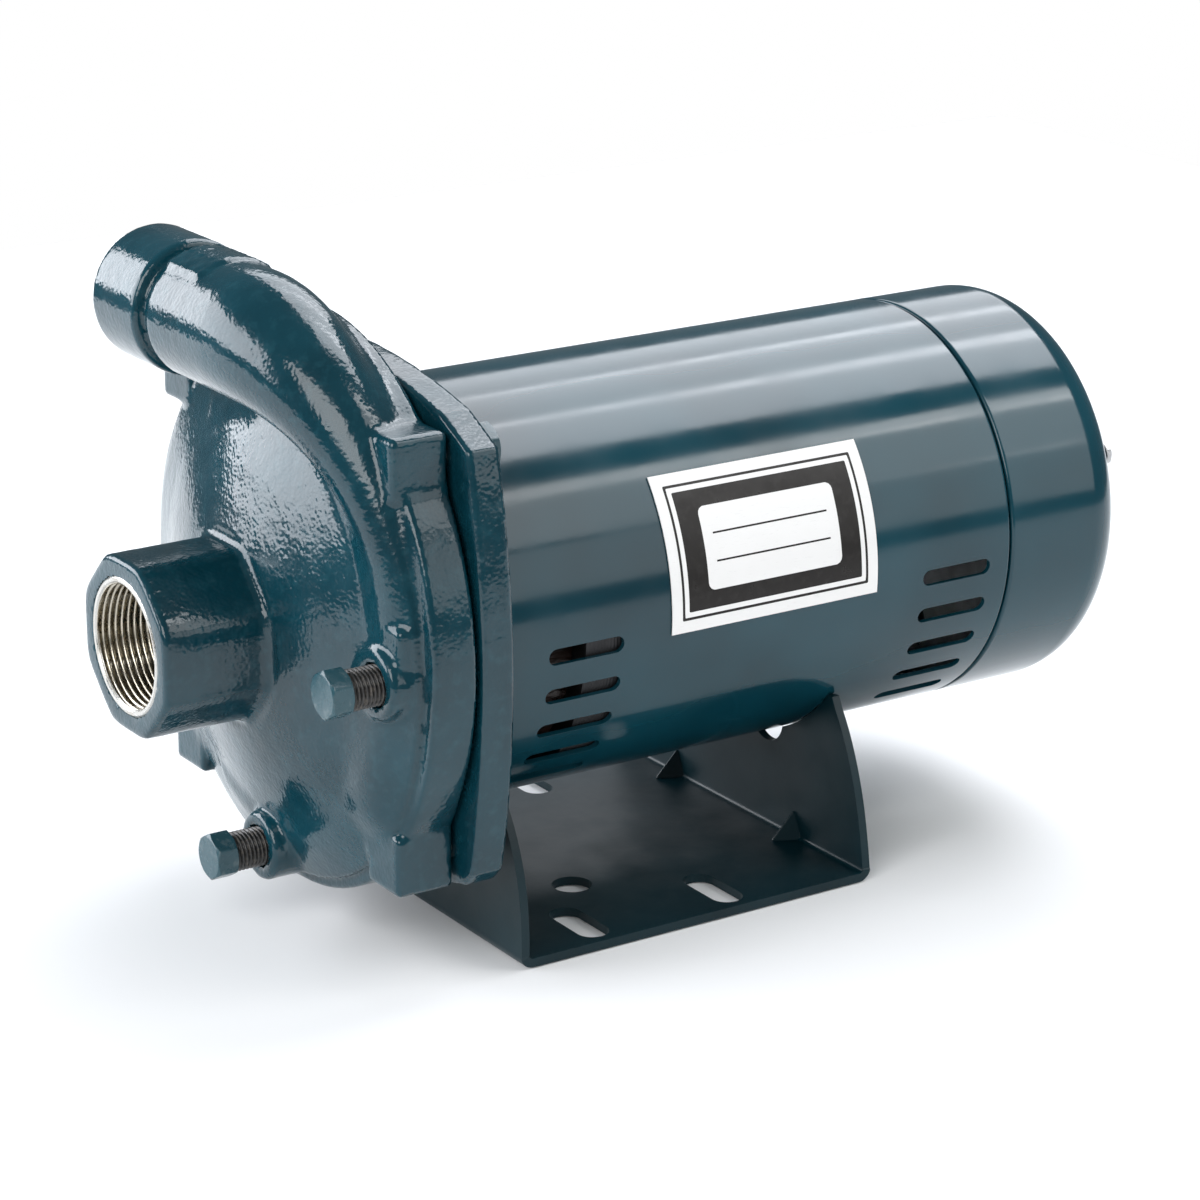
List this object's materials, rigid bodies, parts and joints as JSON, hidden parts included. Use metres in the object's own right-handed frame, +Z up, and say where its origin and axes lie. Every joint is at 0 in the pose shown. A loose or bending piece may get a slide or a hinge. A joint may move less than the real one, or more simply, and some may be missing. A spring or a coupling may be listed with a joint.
{
  "type": "shallow well jet pump",
  "caption": "Close-coupled end-suction pump: cast volute casing with threaded suction and discharge on a round enclosed motor over a folded slotted base.",
  "frame": {"origin": "middle of the underside of the base, on the floor, under the shaft", "axes": "+X along the shaft from the suction port to the back of the motor, +Y the way the discharge points, +Z up"},
  "size_m": [0.3566, 0.184, 0.2238],
  "materials": {
    "cast_enamel": "glossy blue-green enamel over sand-cast iron",
    "shell_enamel": "glossy blue-green enamel on rolled steel",
    "bolt_enamel": "enamelled fastener",
    "steel": "bare machined steel",
    "bearing_steel": "ground bearing steel",
    "lamination": "stacked electrical steel",
    "aluminium": "die-cast aluminium",
    "winding": "varnished copper wire",
    "rubber": "black rubber",
    "carbon": "carbon seal face",
    "ceramic": "white ceramic",
    "bronze": "cast bronze",
    "phenolic": "dark moulded phenolic",
    "plate": "printed aluminium foil plate"
  },
  "bodies": {
    "frame": {"volute_casing": "cast_enamel", "end_bell_front": "cast_enamel", "seal_plate": "cast_enamel", "motor_shell": "shell_enamel", "rear_canopy": "shell_enamel", "motor_base": "shell_enamel", "casing_bolt_1": "bolt_enamel", "casing_bolt_2": "bolt_enamel", "casing_bolt_3": "bolt_enamel", "casing_bolt_4": "bolt_enamel", "wave_washer": "steel", "capacitor_clip": "steel", "canopy_screw_1": "steel", "canopy_screw_2": "steel", "through_bolt_1": "steel", "through_bolt_2": "steel", "through_bolt_3": "steel", "through_bolt_4": "steel", "bearing_front_outer_race": "bearing_steel", "bearing_rear_outer_race": "bearing_steel", "stator_core": "lamination", "end_bell_rear": "aluminium", "stator_windings": "winding", "casing_o_ring": "rubber", "seal_seat": "ceramic", "wear_ring": "bronze", "switch_board": "phenolic", "start_capacitor": "phenolic", "nameplate": "plate"},
    "rotor": {"shaft": "steel", "impeller": "bronze", "seal_head": "carbon", "seal_spring": "steel", "slinger": "rubber", "rotor_cage": "aluminium", "cooling_fan": "aluminium", "bearing_front_inner_race": "bearing_steel", "bearing_rear_inner_race": "bearing_steel", "governor_plate": "steel"},
    "front_balls": {"bearing_front_balls": "bearing_steel"},
    "rear_balls": {"bearing_rear_balls": "bearing_steel"},
    "collar": {"governor_collar": "phenolic"},
    "arm": {"switch_arm": "bronze"},
    "vent": {"vent_plug": "bolt_enamel"},
    "drain": {"drain_plug": "bolt_enamel"}
  },
  "joints": [
    {"name": "rotor_spin", "type": "hinge", "parent": "frame", "child": "rotor", "pos_m": [0, 0, 0.1065], "axis": [-1, 0, 0], "continuous": true},
    {"name": "front_balls_spin", "type": "hinge", "parent": "frame", "child": "front_balls", "pos_m": [-0.06, 0, 0.1065], "axis": [-1, 0, 0], "continuous": true},
    {"name": "rear_balls_spin", "type": "hinge", "parent": "frame", "child": "rear_balls", "pos_m": [0.1175, 0, 0.1065], "axis": [-1, 0, 0], "continuous": true},
    {"name": "collar_slide", "type": "slide", "parent": "rotor", "child": "collar", "axis": [-1, 0, 0], "range_m": [0, 0.0026]},
    {"name": "arm_swing", "type": "hinge", "parent": "frame", "child": "arm", "pos_m": [0.1505, 0, 0.1325], "axis": [0, 1, 0], "range_deg": [0, 4]},
    {"name": "vent_draw", "type": "slide", "parent": "frame", "child": "vent", "axis": [-1, 0, 0], "range_m": [0, 0.009]},
    {"name": "drain_draw", "type": "slide", "parent": "frame", "child": "drain", "axis": [-1, 0, 0], "range_m": [0, 0.009]}
  ],
  "couplings": [
    {"joint": "front_balls_spin", "follows": "rotor_spin", "ratio": 0.39},
    {"joint": "rear_balls_spin", "follows": "rotor_spin", "ratio": 0.38},
    {"joint": "arm_swing", "follows": "collar_slide", "rad_per_m": 26.3}
  ]
}
